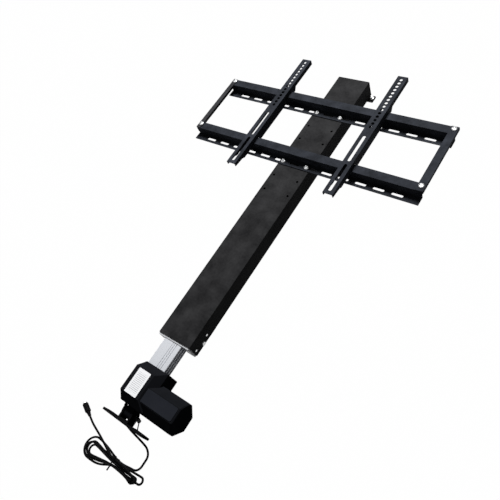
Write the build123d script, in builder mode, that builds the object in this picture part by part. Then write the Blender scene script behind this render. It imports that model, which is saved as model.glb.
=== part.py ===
from build123d import *
from math import asin, atan2, cos, hypot, pi, radians, sin, tan
import os

# A motorised lift for a television, lying on its back: X across the bracket,
# Y along the lift towards its top, Z out of the side that carries the screen.
# The wall plane, on which the lift lies, is Z = 0. Lengths are millimetres.

# Foot plate and clevis, at the low end
foot_face = -567.0
foot_width = 136.0
foot_depth = 46.0
foot_thickness = 5.0
foot_corner = 12.0
foot_hole_radius = 3.3
foot_hole_across = 104.0
foot_hole_deep = 26.0
notch_left = -32.0
notch_right = 20.0
notch_depth = 15.0
ear_thickness = 5.0
ear_radius = 14.5
foot_web = 4.0
pin_height = 25.0
pin_level = 28.0
pin_radius = 5.0
pin_head_radius = 7.5
pin_head_thickness = 3.0
pin_tail = 13.0
lug_width = 22.0
lug_radius = 12.5
side_gap = 0.3
running_gap = 0.05
clip_wire = 2.0
clip_reach = 23.0
clip_lean = 26.6

# Gearbox and motor
gearbox_width = 90.0
gearbox_height = 103.0
gearbox_gap = 36.0
gearbox_back = 8.0
gearbox_shoulder = 58.0
gearbox_front = 76.0
gearbox_chamfer = 19.0
housing_corner = 3.0
seam_bevel = 0.6
well_radius = 4.0
well_depth = 12.0
well_inset = 10.0
plateau_half = 26.0
plateau_low = 19.0
plateau_high = 20.0
plateau_corner = 1.5
motor_reach = 129.5
motor_across = 78.0
motor_flat = 37.0
motor_back = 1.0
motor_front = 71.0
motor_back_shoulder = 33.0
motor_front_shoulder = 50.0
motor_drop = 2.0
motor_end_bevel = 2.5
panel_rise = 0.8
panel_inset = 1.5
panel_corner = 5.0
collar_start = 20.0
label_width = 37.0
label_height = 62.0
label_thickness = 0.4
label_corner = 1.5

# Fixed aluminium profile, its screw and its guides
axis_level = 37.0
profile_width = 54.0
profile_depth = 30.5
profile_corner = 1.5
chamber_width = 38.0
chamber_depth = 25.0
groove_width = 1.6
groove_deep = 1.2
groove_places_shares = (0.06, 0.28, 0.51)
channel_width = 9.0
channel_deep = 5.0
side_slot_width = 5.0
side_slot_place = 9.5
screw_radius = 6.0
screw_low = -504.5
screw_top = 320.0
screw_seat_end = -505.0
tube_radius = 10.0
tube_bore = 7.5
nut_low = -416.0
nut_length = 20.0
nut_gap = 0.3
guide_drop = 37.0
guide_length = 25.0
guide_channel_width = 13.0
guide_channel_depth = 8.0
collar_length = 17.0
collar_flange = 3.0
head_gap = 5.0

# Sliding column
column_low = -348.0
column_length = 911.0
column_width = 100.0
column_depth = 50.0
column_back = 6.0
column_wall = 2.0
column_opening = 60.0
column_edge = 1.5
bush_length = 57.0
bush_lip = 4.5
bush_slot = 48.6
bush_gap = 0.3
cap_thickness = 4.0
cap_boss_length = 12.0
cap_bolt_radius = 7.0
cap_bolt_height = 3.0
cap_stud_radius = 4.0
side_bolt_place = 33.0
side_bolt_level = 16.0
side_bolt_across = 10.0
side_bolt_head = 4.0
side_bolt_stud = 3.0
side_bolt_depth = 8.0
side_screw_places = (8.0, 53.0)
side_screw_level = 25.5
side_screw_stud = 1.5
side_screw_depth = 6.0

# Wall brackets
plate_thickness = 3.0
upper_plate_width = 128.0
upper_plate_drop = 10.0
upper_plate_height = 24.0
lower_plate_width = 92.0
lower_plate_low = -291.0
lower_plate_height = 30.0
spacer_width = 44.0
spacer_length = 10.0
lower_spacer_length = 20.0
wall_hole_radius = 3.3
upper_hole_spacing = 84.0
lower_hole_spacing = 72.0
wall_bolt_place = 57.0
wall_nut_across = 10.0
wall_nut_height = 5.0
wall_stud_radius = 3.0
wall_stud_height = 9.0

# Screen bracket: rails, end bars and arms
rail_half = 358.0
rail_drops = (139.8, 328.2)
rail_flange = 23.8
rail_foot = 23.7
rail_height = 24.8
rail_sheet = 2.0
slot_pitch = 50.0
slot_length = 31.0
slot_width = 7.5
bolt_drop = 12.5
bolt_spacing = 75.4
column_hole_steps = 3
column_hole_radius = 3.3
rail_bolt_head = 5.6
rail_bolt_height = 3.6
rail_bolt_stud = 3.0
rail_bolt_reach = 5.0
bar_sheet = 2.0
bar_gap = 0.2
right_bar_face = 20.0
right_bar_side = 10.0
left_bar_face = 14.0
left_bar_side = 20.0
bar_bolt_inset = 10.5
bar_bolt_rise = 15.1
bar_bolt_head = 5.2
bar_bolt_height = 3.4
bar_bolt_stud = 2.9
bar_bolt_tail = 5.0
arm_place = 155.0
arm_width = 29.0
arm_length = 423.5
arm_rise = 4.0
arm_face = 38.8
arm_sheet = 2.0
arm_hole_first = 12.7
arm_hole_pitch = 12.84
arm_hole_radius = 3.4
arm_slot_width = 7.0
arm_slot_length = 90.0
arm_slot_pitch = 100.0
arm_slot_margin = 9.7
arm_plain = 24.0
arm_rest_gap = 0.3
arm_deep = 14.0
arm_hook_length = 14.0
arm_hook_depth = 11.0
arm_hook_tip = 7.0
arm_hook_gap = 1.0
arm_tab_share = 0.55
arm_tab_depth = 5.0
arm_tail_rise = 3.5
arm_lead = 8.0
arm_screw_radius = 4.0
arm_screw_height = 3.0
arm_screw_stud = 2.0
arm_screw_place = 20.0
arm_screw_rise = 7.0

# Cord, hank, tie and plug
cord_radius = 2.5
cord_level = 3.5
gland_place = -34.0
gland_level = 16.0
gland_length = 8.0
gland_radius = 4.5
gland_base = 1.5
gland_base_radius = 6.0
hank_middle = (45.0, -645.0)
hank_step = 6.4
hank_rise = 5.6
hank_waist = 20.0
hank_climb = 18.0
hank_flare = 15.0
hank_lead = 27.0
hank_lead_across = 14.0
hank_join = 10.0
hank_bend = 16.0
hank_exit = 5.0
tie_place = -17.0
tie_width = 3.0
tie_sheet = 0.8
tie_gap = 0.2
tie_tails = (12.0, 5.0)
plug_radius = 7.0
plug_length = 24.0
plug_sleeve_length = 13.0
plug_sleeve_radius = 4.0
plug_tip_radius = 5.0
plug_tip_length = 5.0
plug_tip_wall = 0.8
plug_core_radius = 1.6

# Each layer's loop at the hank's left and right ends: its centre out and across, and its radius
left_loops = [(91.0, -5.5, 19.5), (80.0, -2.0, 18.0), (88.0, -7.0, 17.0), (83.0, -5.0, 15.5)]
right_loops = [(42.5, -6.0, 9.0), (60.0, 0.0, 8.2), (44.0, -7.0, 9.5), (40.0, -2.0, 9.0)]

# The cord's corners outside the hank
lead_route = [
    (-34.0, -534.0, 16.0), (-34.0, -546.0, 16.0), (-28.0, -558.0, 12.0), (-13.0, -565.5, 6.0),
    (8.0, -571.0, 3.5), (36.0, -574.5, 3.5), (58.0, -577.5, 3.5), (75.0, -581.0, 3.5),
    (88.0, -593.0, 3.5), (88.0, -610.0, 3.5),
]
tail_route = [
    (35.0, -638.6, 20.3), (19.0, -638.6, 20.3), (1.0, -633.9, 19.8), (-22.0, -627.2, 15.5),
    (-47.0, -620.0, 11.5), (-71.0, -614.0, 8.8), (-91.0, -608.3, 7.0), (-108.0, -600.5, 7.0),
]

# Cuts run past what they cut by this much
overrun = 1.0

os.makedirs("parts", exist_ok=True)


def save(piece, name):
    piece.part.label = name
    export_step(piece.part, f"parts/{name}.step")


# Heights and places that follow from the sizes above
foot_top = foot_face + foot_thickness
pin_place = foot_face + pin_height
gearbox_low = foot_top + gearbox_gap
gearbox_high = gearbox_low + gearbox_height
gearbox_half = gearbox_width / 2
motor_middle = gearbox_low - motor_drop + motor_across / 2
profile_back = axis_level - profile_depth / 2
profile_face = axis_level + profile_depth / 2
column_high = column_low + column_length
cap_low = column_high - cap_thickness
profile_top = cap_low - collar_flange - head_gap
guide_low = profile_top - guide_drop
upper_plate_low = profile_top - upper_plate_drop
rail_webs = [column_high - drop for drop in rail_drops]
slot_count = 2 * int((rail_half - slot_length) / slot_pitch) + 1
arm_top = column_high + arm_rise
column_face = column_back + column_depth
inner_half = column_width / 2 - column_wall
inner_back = column_back + column_wall
inner_face = column_face - column_wall
flange_top = column_face + rail_height
bar_top = flange_top + bar_sheet
arm_low = arm_top - arm_length
arm_slots_high = arm_slot_margin + arm_slot_pitch + arm_slot_length
arm_hole_run = arm_length - arm_hole_first - arm_slots_high - arm_plain
arm_hole_count = int(arm_hole_run / arm_hole_pitch) + 1
arm_front = column_face + arm_face


# Foot plate, with a web and two ears for the clevis pin and a notch that clears the cord
with BuildPart() as foot_plate:
    with BuildSketch(Plane.XZ.offset(-foot_top)):
        with Locations((0, foot_depth / 2)):
            RectangleRounded(foot_width, foot_depth, foot_corner)
        with Locations(((notch_left + notch_right) / 2, 0)):
            RectangleRounded(
                notch_right - notch_left, 2 * notch_depth, notch_depth / 4, mode=Mode.SUBTRACT
            )
    extrude(amount=foot_thickness)
    with BuildSketch(Plane.XZ.offset(-foot_top)):
        with Locations((0, pin_level)):
            Rectangle(lug_width + 2 * side_gap + 2 * ear_thickness, 2 * ear_radius)
    extrude(amount=-foot_web)
    for side in (-1, 1):
        ear_face = side * (lug_width / 2 + side_gap + ear_thickness / 2) - ear_thickness / 2
        with BuildSketch(Plane.YZ.offset(ear_face)):
            with Locations((pin_place, pin_level)):
                Circle(ear_radius)
            with Locations(((foot_top + pin_place) / 2, pin_level)):
                Rectangle(pin_place - foot_top, 2 * ear_radius)
            with Locations((pin_place, pin_level)):
                Circle(pin_radius, mode=Mode.SUBTRACT)
        extrude(amount=ear_thickness)
    with BuildSketch(Plane.XZ.offset(-foot_top - overrun)):
        with Locations((0, foot_depth / 2)):
            with GridLocations(foot_hole_across, foot_hole_deep, 2, 2):
                Circle(foot_hole_radius)
    extrude(amount=foot_thickness + 2 * overrun, mode=Mode.SUBTRACT)
save(foot_plate, "foot_plate")

# Clevis pin, with its head on the left and a cross hole for the clip on the right
ear_outside = lug_width / 2 + side_gap + ear_thickness
clip_place = ear_outside + pin_tail / 2
clip_down = (0, -sin(radians(clip_lean)), -cos(radians(clip_lean)))
clip_plane = Plane((clip_place, pin_place, pin_level), x_dir=clip_down, z_dir=(1, 0, 0))
with BuildPart() as clevis_pin:
    with BuildSketch(Plane.YZ.offset(-ear_outside - pin_head_thickness)):
        with Locations((pin_place, pin_level)):
            Circle(pin_head_radius)
    extrude(amount=pin_head_thickness)
    with BuildSketch(Plane.YZ.offset(-ear_outside)):
        with Locations((pin_place, pin_level)):
            Circle(pin_radius)
    extrude(amount=2 * ear_outside + pin_tail)
    chamfer(clevis_pin.edges().filter_by(GeomType.CIRCLE).sort_by(Axis.X)[-1], pin_radius / 6)
    with BuildSketch(Plane((clip_place, pin_place, pin_level), z_dir=clip_down)):
        Circle(clip_wire / 2 + running_gap)
    extrude(amount=2 * pin_radius, both=True, mode=Mode.SUBTRACT)
save(clevis_pin, "clevis_pin")

# Hairpin clip: one straight leg through the pin, the other passing over it
clip_bow = pin_radius + clip_wire / 2 + side_gap
with BuildPart() as pin_clip:
    with BuildLine(clip_plane):
        FilletPolyline(
            (-pin_radius - 2 * clip_wire, 0),
            (clip_reach, 0),
            (clip_reach, clip_bow + clip_wire),
            (clip_reach / 2, clip_bow + clip_wire),
            (clip_wire, clip_bow),
            (-pin_radius, clip_bow),
            (-pin_radius - 2 * clip_wire, clip_bow + clip_wire),
            radius=1.2 * clip_wire,
        )
    clip_start = clip_plane.from_local_coords(Vector(-pin_radius - 2 * clip_wire, 0, 0))
    with BuildSketch(Plane(clip_start, z_dir=clip_down)):
        Circle(clip_wire / 2)
    sweep()
save(pin_clip, "pin_clip")


# Gearbox housing: a square back half with four wells for the screws that hold the two together,
# and a bevelled front half, split at the screw's axis
with BuildSketch(Plane.XZ.offset(-gearbox_high - overrun)) as screw_bore:
    with Locations((0, axis_level)):
        Circle(screw_radius + running_gap)
screw_bore_depth = gearbox_high + overrun - screw_seat_end

with BuildPart() as gearbox_back_half:
    with BuildSketch(Plane.XY.offset(gearbox_back)):
        with Locations((0, (gearbox_low + gearbox_high) / 2)):
            Rectangle(gearbox_width, gearbox_height)
    extrude(amount=axis_level - gearbox_back)
    fillet(gearbox_back_half.edges().filter_by(Axis.Z), housing_corner)
    chamfer(gearbox_back_half.faces().sort_by(Axis.Z)[-1].edges(), seam_bevel)
    with BuildSketch(Plane.XY.offset(gearbox_back)):
        with Locations((0, (gearbox_low + gearbox_high) / 2)):
            with GridLocations(gearbox_width - 2 * well_inset, gearbox_height - 2 * well_inset, 2, 2):
                Circle(well_radius)
    extrude(amount=well_depth, mode=Mode.SUBTRACT)
    with BuildSketch(Plane.YZ.offset(-lug_width / 2)):
        with Locations((pin_place, pin_level)):
            Circle(lug_radius)
        with BuildLine():
            Polyline(
                (pin_place, pin_level - lug_radius),
                (gearbox_low + overrun, pin_level - lug_radius),
                (gearbox_low + overrun, axis_level),
                (gearbox_low, axis_level),
                (gearbox_low, pin_level + lug_radius),
                (pin_place, pin_level + lug_radius),
                close=True,
            )
        make_face()
        with Locations((pin_place, pin_level)):
            Circle(pin_radius + running_gap, mode=Mode.SUBTRACT)
    extrude(amount=lug_width)
    extrude(screw_bore.sketch, amount=screw_bore_depth, mode=Mode.SUBTRACT)
save(gearbox_back_half, "gearbox_back_half")

plateau_bottom = gearbox_low + plateau_low
plateau_top = gearbox_high - plateau_high


def motor_outline(plane):
    """Eight-sided section of the motor's cover, on a plane across X."""
    half = motor_across / 2
    flat = motor_flat / 2
    with BuildSketch(plane) as outline:
        with BuildLine():
            Polyline(
                (motor_middle - half, motor_back_shoulder),
                (motor_middle - flat, motor_back),
                (motor_middle + flat, motor_back),
                (motor_middle + half, motor_back_shoulder),
                (motor_middle + half, motor_front_shoulder),
                (motor_middle + flat, motor_front),
                (motor_middle - flat, motor_front),
                (motor_middle - half, motor_front_shoulder),
                close=True,
            )
        make_face()
    return outline.sketch


def housing_outline(level, half, low, high, corner):
    """Section of the housing's front half, with the two corners away from the motor cut off."""
    with BuildSketch(Plane.XY.offset(level)) as outline:
        with BuildLine():
            Polyline(
                (-half, low + corner),
                (-half + corner, low),
                (half, low),
                (half, high),
                (-half + corner, high),
                (-half, high - corner),
                close=True,
            )
        make_face()
    return outline.sketch


with BuildPart() as gearbox_front_half:
    joint_outline = housing_outline(axis_level, gearbox_half, gearbox_low, gearbox_high, gearbox_chamfer)
    extrude(joint_outline, amount=gearbox_shoulder - axis_level)
    chamfer(gearbox_front_half.faces().sort_by(Axis.Z)[0].edges(), seam_bevel)
    loft([
        housing_outline(gearbox_shoulder, gearbox_half, gearbox_low, gearbox_high, gearbox_chamfer),
        housing_outline(gearbox_front, plateau_half, plateau_bottom, plateau_top, plateau_corner),
    ], ruled=True)
    extrude(motor_outline(Plane.YZ.offset(collar_start)), amount=gearbox_half - collar_start)
    with BuildSketch(Plane.XY.offset(axis_level)):
        with Locations(((collar_start + gearbox_half) / 2, motor_middle)):
            Rectangle(gearbox_width, 2 * gearbox_height)
    extrude(amount=-axis_level, mode=Mode.SUBTRACT)
    extrude(screw_bore.sketch, amount=screw_bore_depth, mode=Mode.SUBTRACT)
save(gearbox_front_half, "gearbox_front_half")

# Motor cover, eight-sided, with bevelled edges round its far end and a raised panel in front
panel_start = gearbox_half + panel_inset
panel_end = motor_reach - motor_end_bevel - panel_inset
with BuildPart() as motor_cover:
    extrude(motor_outline(Plane.YZ.offset(gearbox_half)), amount=motor_reach - gearbox_half)
    chamfer(motor_cover.faces().sort_by(Axis.X)[-1].edges(), motor_end_bevel)
    with BuildSketch(Plane.XY.offset(motor_front)):
        with Locations(((panel_start + panel_end) / 2, motor_middle)):
            RectangleRounded(panel_end - panel_start, motor_flat - 2 * panel_inset, panel_corner)
    extrude(amount=panel_rise)
save(motor_cover, "motor_cover")

# Bare label on the gearbox's front
label_middle = (plateau_bottom + plateau_top) / 2
with BuildPart() as rating_label:
    with BuildSketch(Plane.XY.offset(gearbox_front)):
        with Locations((-label_corner, label_middle)):
            RectangleRounded(label_width, label_height, label_corner)
    extrude(amount=label_thickness)
save(rating_label, "rating_label")

# Gland that the cord leaves by, under the gearbox's back half
gland_end = gearbox_low - gland_length
with BuildPart() as cord_gland:
    with BuildSketch(Plane.XZ.offset(-gearbox_low)):
        with Locations((gland_place, gland_level)):
            Circle(gland_base_radius)
    extrude(amount=gland_base)
    with BuildSketch(Plane.XZ.offset(-gearbox_low + gland_base)):
        with Locations((gland_place, gland_level)):
            Circle(gland_radius)
    with BuildSketch(Plane.XZ.offset(-gland_end)):
        with Locations((gland_place, gland_level)):
            Circle((gland_radius + cord_radius) / 2)
    loft()
save(cord_gland, "cord_gland")

# Aluminium profile: a box section with line grooves in front and channels along each side
profile_length = profile_top - gearbox_high
with BuildPart() as lift_profile:
    with BuildSketch(Plane.XZ.offset(-profile_top)):
        with Locations((0, axis_level)):
            RectangleRounded(profile_width, profile_depth, profile_corner)
            Rectangle(chamber_width, chamber_depth, mode=Mode.SUBTRACT)
        for share in groove_places_shares:
            with Locations((share * profile_width / 2, profile_face)):
                Rectangle(groove_width, 2 * groove_deep, mode=Mode.SUBTRACT)
        for side in (-1, 1):
            with Locations((side * profile_width / 2, axis_level)):
                Rectangle(2 * channel_deep, channel_width, mode=Mode.SUBTRACT)
                with GridLocations(0, 2 * side_slot_place, 1, 2):
                    Rectangle(2 * channel_deep, side_slot_width, mode=Mode.SUBTRACT)
    extrude(amount=profile_length)
save(lift_profile, "lift_profile")

# Lead screw, turning inside the profile
with BuildPart() as lead_screw:
    with BuildSketch(Plane.XZ.offset(-screw_top)):
        with Locations((0, axis_level)):
            Circle(screw_radius)
    extrude(amount=screw_top - screw_low)
    chamfer(lead_screw.edges().filter_by(GeomType.CIRCLE).sort_by(Axis.Y)[-1], screw_radius / 6)
save(lead_screw, "lead_screw")

# Drive nut, running on the screw and sliding in the profile's chamber
with BuildPart() as drive_nut:
    with BuildSketch(Plane.XZ.offset(-nut_low - nut_length)):
        with Locations((0, axis_level)):
            Rectangle(chamber_width - 2 * nut_gap, chamber_depth - 2 * nut_gap)
            Circle(screw_radius + running_gap, mode=Mode.SUBTRACT)
    extrude(amount=nut_length)
save(drive_nut, "drive_nut")

# Push tube, from the nut up to the column's cap
tube_low = nut_low + nut_length
with BuildPart() as push_tube:
    with BuildSketch(Plane.XZ.offset(-cap_low)):
        with Locations((0, axis_level)):
            Circle(tube_radius)
            Circle(tube_bore, mode=Mode.SUBTRACT)
    extrude(amount=cap_low - tube_low)
save(push_tube, "push_tube")

# Collar in the profile's upper end, which the push tube runs through
with BuildPart() as tube_collar:
    with BuildSketch(Plane.XZ.offset(-profile_top - collar_flange)):
        with Locations((0, axis_level)):
            RectangleRounded(profile_width, profile_depth, profile_corner)
            Circle(tube_radius + running_gap, mode=Mode.SUBTRACT)
    extrude(amount=collar_flange)
    with BuildSketch(Plane.XZ.offset(-profile_top)):
        with Locations((0, axis_level)):
            Rectangle(chamber_width, chamber_depth)
            Circle(tube_radius + running_gap, mode=Mode.SUBTRACT)
    extrude(amount=collar_length)
save(tube_collar, "tube_collar")

# Slide block round the profile's upper end, on which the column runs
with BuildPart() as slide_block:
    with BuildSketch(Plane.XZ.offset(-guide_low - guide_length)):
        with Locations((0, (inner_back + inner_face) / 2)):
            Rectangle(2 * (inner_half - side_gap), inner_face - inner_back - 2 * side_gap)
        for side in (-1, 1):
            with Locations((side * bolt_spacing / 2, inner_face)):
                Rectangle(guide_channel_width, 2 * guide_channel_depth, mode=Mode.SUBTRACT)
            with Locations((side * profile_width / 2, axis_level)):
                Rectangle(2 * channel_deep, channel_width, mode=Mode.SUBTRACT)
        with Locations((0, axis_level)):
            RectangleRounded(profile_width, profile_depth, profile_corner, mode=Mode.SUBTRACT)
    extrude(amount=guide_length)
save(slide_block, "slide_block")


# Column: bent sheet, open down its back between two lips, with bolt holes in its face
def rail_bolt_line(web):
    return web - bolt_drop


with BuildPart() as lift_column:
    with BuildSketch(Plane.XZ.offset(-column_high)):
        with Locations((0, (column_back + column_face) / 2)):
            RectangleRounded(column_width, column_depth, column_edge)
            Rectangle(2 * inner_half, inner_face - inner_back, mode=Mode.SUBTRACT)
        with Locations((0, column_back)):
            Rectangle(column_opening, 2 * column_wall + overrun, mode=Mode.SUBTRACT)
    extrude(amount=column_length)
    for web in rail_webs:
        for step in range(column_hole_steps):
            with BuildSketch(Plane.XY.offset(column_face + overrun)):
                with Locations((0, rail_bolt_line(web) - step * slot_pitch)):
                    with GridLocations(bolt_spacing, 0, 2, 1):
                        Circle(column_hole_radius)
            extrude(amount=-column_wall - 2 * overrun, mode=Mode.SUBTRACT)
    with BuildSketch(Plane.YZ.offset(-column_width / 2 - overrun)):
        with Locations((column_low + side_bolt_place, side_bolt_level)):
            Circle(side_bolt_stud)
        for place in side_screw_places:
            with Locations((column_low + place, side_screw_level)):
                Circle(side_screw_stud)
    extrude(amount=column_width + 2 * overrun, mode=Mode.SUBTRACT)
save(lift_column, "lift_column")

# Guide bush in the column's mouth, open at its back for the wall brackets' spacers
bush_top = column_low + bush_length
with BuildPart() as guide_bush:
    with BuildSketch(Plane.XZ.offset(-bush_top)):
        with Locations((0, (inner_back + inner_face) / 2)):
            Rectangle(2 * inner_half, inner_face - inner_back)
        with Locations((0, axis_level)):
            Rectangle(profile_width + 2 * bush_gap, profile_depth + 2 * bush_gap, mode=Mode.SUBTRACT)
        with Locations((0, inner_back)):
            Rectangle(bush_slot, 2 * (profile_back - inner_back), mode=Mode.SUBTRACT)
    extrude(amount=bush_length + bush_lip)
    with BuildSketch(Plane.YZ.offset(-inner_half)):
        with Locations((column_low + side_bolt_place, side_bolt_level)):
            Circle(side_bolt_stud)
    extrude(amount=side_bolt_depth, mode=Mode.SUBTRACT)
    with BuildSketch(Plane.YZ.offset(inner_half)):
        with Locations((column_low + side_bolt_place, side_bolt_level)):
            Circle(side_bolt_stud)
    extrude(amount=-side_bolt_depth, mode=Mode.SUBTRACT)
    for side in (-1, 1):
        with BuildSketch(Plane.YZ.offset(side * inner_half)):
            for place in side_screw_places:
                with Locations((column_low + place, side_screw_level)):
                    Circle(side_screw_stud)
        extrude(amount=-side * side_screw_depth, mode=Mode.SUBTRACT)
save(guide_bush, "guide_bush")

# Cap in the column's top, with a boss in the push tube and a bolt through it
with BuildPart() as column_cap:
    with BuildSketch(Plane.XZ.offset(-column_high)):
        with Locations((0, (inner_back + inner_face) / 2)):
            Rectangle(2 * inner_half, inner_face - inner_back)
    extrude(amount=cap_thickness)
    with BuildSketch(Plane.XZ.offset(-cap_low)):
        with Locations((0, axis_level)):
            Circle(tube_bore)
    extrude(amount=cap_boss_length)
    with BuildSketch(Plane.XZ.offset(-column_high)):
        with Locations((0, axis_level)):
            Circle(cap_stud_radius)
    extrude(amount=cap_thickness + cap_boss_length, mode=Mode.SUBTRACT)
save(column_cap, "column_cap")

with BuildPart() as cap_bolt:
    with BuildSketch(Plane.XZ.offset(-column_high - cap_bolt_height)):
        with Locations((0, axis_level)):
            Circle(cap_bolt_radius)
    extrude(amount=cap_bolt_height)
    chamfer(cap_bolt.edges().sort_by(Axis.Y)[-1], cap_bolt_height / 3)
    with BuildSketch(Plane.XZ.offset(-column_high)):
        with Locations((0, axis_level)):
            Circle(cap_stud_radius)
    extrude(amount=cap_thickness + cap_boss_length)
save(cap_bolt, "cap_bolt")


# Fasteners in the column's sides at its mouth: one hexagon bolt and two small screws a side
side_names = {-1: "left", 1: "right"}
for side, side_name in side_names.items():
    with BuildPart() as bush_bolt:
        with BuildSketch(Plane.YZ.offset(side * column_width / 2)):
            with Locations((column_low + side_bolt_place, side_bolt_level)):
                Circle(side_bolt_stud)
        extrude(amount=-side * (column_wall + side_bolt_depth))
        with BuildSketch(Plane.YZ.offset(side * column_width / 2)):
            with Locations((column_low + side_bolt_place, side_bolt_level)):
                RegularPolygon(side_bolt_across / 2, 6, major_radius=False)
        extrude(amount=side * side_bolt_head)
    save(bush_bolt, f"bush_bolt_{side_name}")
    for number, place in enumerate(side_screw_places, 1):
        with BuildPart() as bush_screw:
            with BuildSketch(Plane.YZ.offset(side * column_width / 2)):
                with Locations((column_low + place, side_screw_level)):
                    Circle(side_screw_stud)
            extrude(amount=-side * (column_wall + side_screw_depth))
            with BuildSketch(Plane.YZ.offset(side * column_width / 2)):
                with Locations((column_low + place, side_screw_level)):
                    Circle(2 * side_screw_stud)
            extrude(amount=side * side_screw_stud)
        save(bush_screw, f"bush_screw_{side_name}_{number}")


# Wall brackets: a plate against the wall and a spacer that reaches the profile's back
def wall_bracket(width, low, height, spacer_low, spacer, spacing):
    with BuildPart() as bracket:
        with BuildSketch(Plane.XY):
            with Locations((0, low + height / 2)):
                RectangleRounded(width, height, plate_thickness)
            with Locations((0, low + height / 2)):
                with GridLocations(spacing, 0, 2, 1):
                    Circle(wall_hole_radius, mode=Mode.SUBTRACT)
        extrude(amount=plate_thickness)
        with BuildSketch(Plane.XY.offset(plate_thickness)):
            with Locations((0, spacer_low + spacer / 2)):
                Rectangle(spacer_width, spacer)
        extrude(amount=profile_back - plate_thickness)
    return bracket


upper_bracket = wall_bracket(
    upper_plate_width, upper_plate_low, upper_plate_height,
    upper_plate_low, spacer_length, upper_hole_spacing,
)
bolt_row = upper_plate_low + upper_plate_height / 2
with BuildPart() as upper_wall_bracket:
    add(upper_bracket.part)
    with BuildSketch(Plane.XY):
        with Locations((0, bolt_row)):
            with GridLocations(2 * wall_bolt_place, 0, 2, 1):
                Circle(wall_stud_radius)
    extrude(amount=plate_thickness, mode=Mode.SUBTRACT)
save(upper_wall_bracket, "upper_wall_bracket")

lower_spacer_low = lower_plate_low + (lower_plate_height - lower_spacer_length) / 2
lower_wall_bracket = wall_bracket(
    lower_plate_width, lower_plate_low, lower_plate_height,
    lower_spacer_low, lower_spacer_length, lower_hole_spacing,
)
save(lower_wall_bracket, "lower_wall_bracket")

# Bolts with nuts at the upper bracket's two ends
for side, side_name in side_names.items():
    with BuildPart() as wall_bolt:
        with BuildSketch(Plane.XY):
            with Locations((side * wall_bolt_place, bolt_row)):
                Circle(wall_stud_radius)
        extrude(amount=plate_thickness + wall_stud_height)
        with BuildSketch(Plane.XY.offset(plate_thickness)):
            with Locations((side * wall_bolt_place, bolt_row)):
                RegularPolygon(wall_nut_across / 2, 6, major_radius=False)
        extrude(amount=wall_nut_height)
    save(wall_bolt, f"wall_bolt_{side_name}")

# Rails: Z sections with a row of slots in the flange that lies on the column
bar_bolt_place = rail_half + bar_gap + bar_sheet - bar_bolt_inset
for web, rail_name in zip(rail_webs, ("upper_rail", "lower_rail")):
    with BuildPart() as rail:
        with BuildSketch(Plane.YZ.offset(-rail_half)):
            with BuildLine():
                Polyline(
                    (web - rail_foot, column_face),
                    (web + rail_sheet, column_face),
                    (web + rail_sheet, flange_top - rail_sheet),
                    (web + rail_flange, flange_top - rail_sheet),
                    (web + rail_flange, flange_top),
                    (web, flange_top),
                    (web, column_face + rail_sheet),
                    (web - rail_foot, column_face + rail_sheet),
                    close=True,
                )
            make_face()
        extrude(amount=2 * rail_half)
        with BuildSketch(Plane.XY.offset(column_face - overrun)):
            with Locations((0, rail_bolt_line(web))):
                with GridLocations(slot_pitch, 0, slot_count, 1):
                    SlotOverall(slot_length, slot_width)
        extrude(amount=rail_sheet + 2 * overrun, mode=Mode.SUBTRACT)
        with BuildSketch(Plane.XY.offset(flange_top + overrun)):
            with Locations((0, web + bar_bolt_rise)):
                with GridLocations(2 * bar_bolt_place, 0, 2, 1):
                    Circle(bar_bolt_stud)
        extrude(amount=-rail_sheet - 2 * overrun, mode=Mode.SUBTRACT)
    save(rail, rail_name)

# Bolts that hold the rails to the column
for web, rail_name in zip(rail_webs, ("upper", "lower")):
    for side, side_name in side_names.items():
        bolt_spot = (side * bolt_spacing / 2, rail_bolt_line(web))
        with BuildPart() as rail_bolt:
            with BuildSketch(Plane.XY.offset(column_face + rail_sheet)):
                with Locations(bolt_spot):
                    Circle(rail_bolt_head)
            extrude(amount=rail_bolt_height)
            chamfer(rail_bolt.edges().sort_by(Axis.Z)[-1], rail_bolt_height / 3)
            with BuildSketch(Plane.XY.offset(column_face + rail_sheet)):
                with Locations(bolt_spot):
                    Circle(rail_bolt_stud)
            extrude(amount=-rail_sheet - column_wall - rail_bolt_reach)
        save(rail_bolt, f"rail_bolt_{rail_name}_{side_name}")

# End bars: angles across the rails' ends, the same section turned over on the left
bar_low = rail_webs[1]
bar_high = rail_webs[0] + rail_flange
bar_outside = rail_half + bar_gap + bar_sheet
for side, face, drop in ((-1, left_bar_face, left_bar_side), (1, right_bar_face, right_bar_side)):
    with BuildPart() as end_bar:
        with BuildSketch(Plane.XZ.offset(-bar_high)):
            with BuildLine():
                Polyline(
                    (side * bar_outside, bar_top),
                    (side * (bar_outside - face), bar_top),
                    (side * (bar_outside - face), flange_top),
                    (side * (bar_outside - bar_sheet), flange_top),
                    (side * (bar_outside - bar_sheet), bar_top - drop),
                    (side * bar_outside, bar_top - drop),
                    close=True,
                )
            make_face()
        extrude(amount=bar_high - bar_low)
        with BuildSketch(Plane.XY.offset(bar_top + overrun)):
            for web in rail_webs:
                with Locations((side * bar_bolt_place, web + bar_bolt_rise)):
                    Circle(bar_bolt_stud)
        extrude(amount=-bar_sheet - 2 * overrun, mode=Mode.SUBTRACT)
    save(end_bar, f"end_bar_{side_names[side]}")

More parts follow.
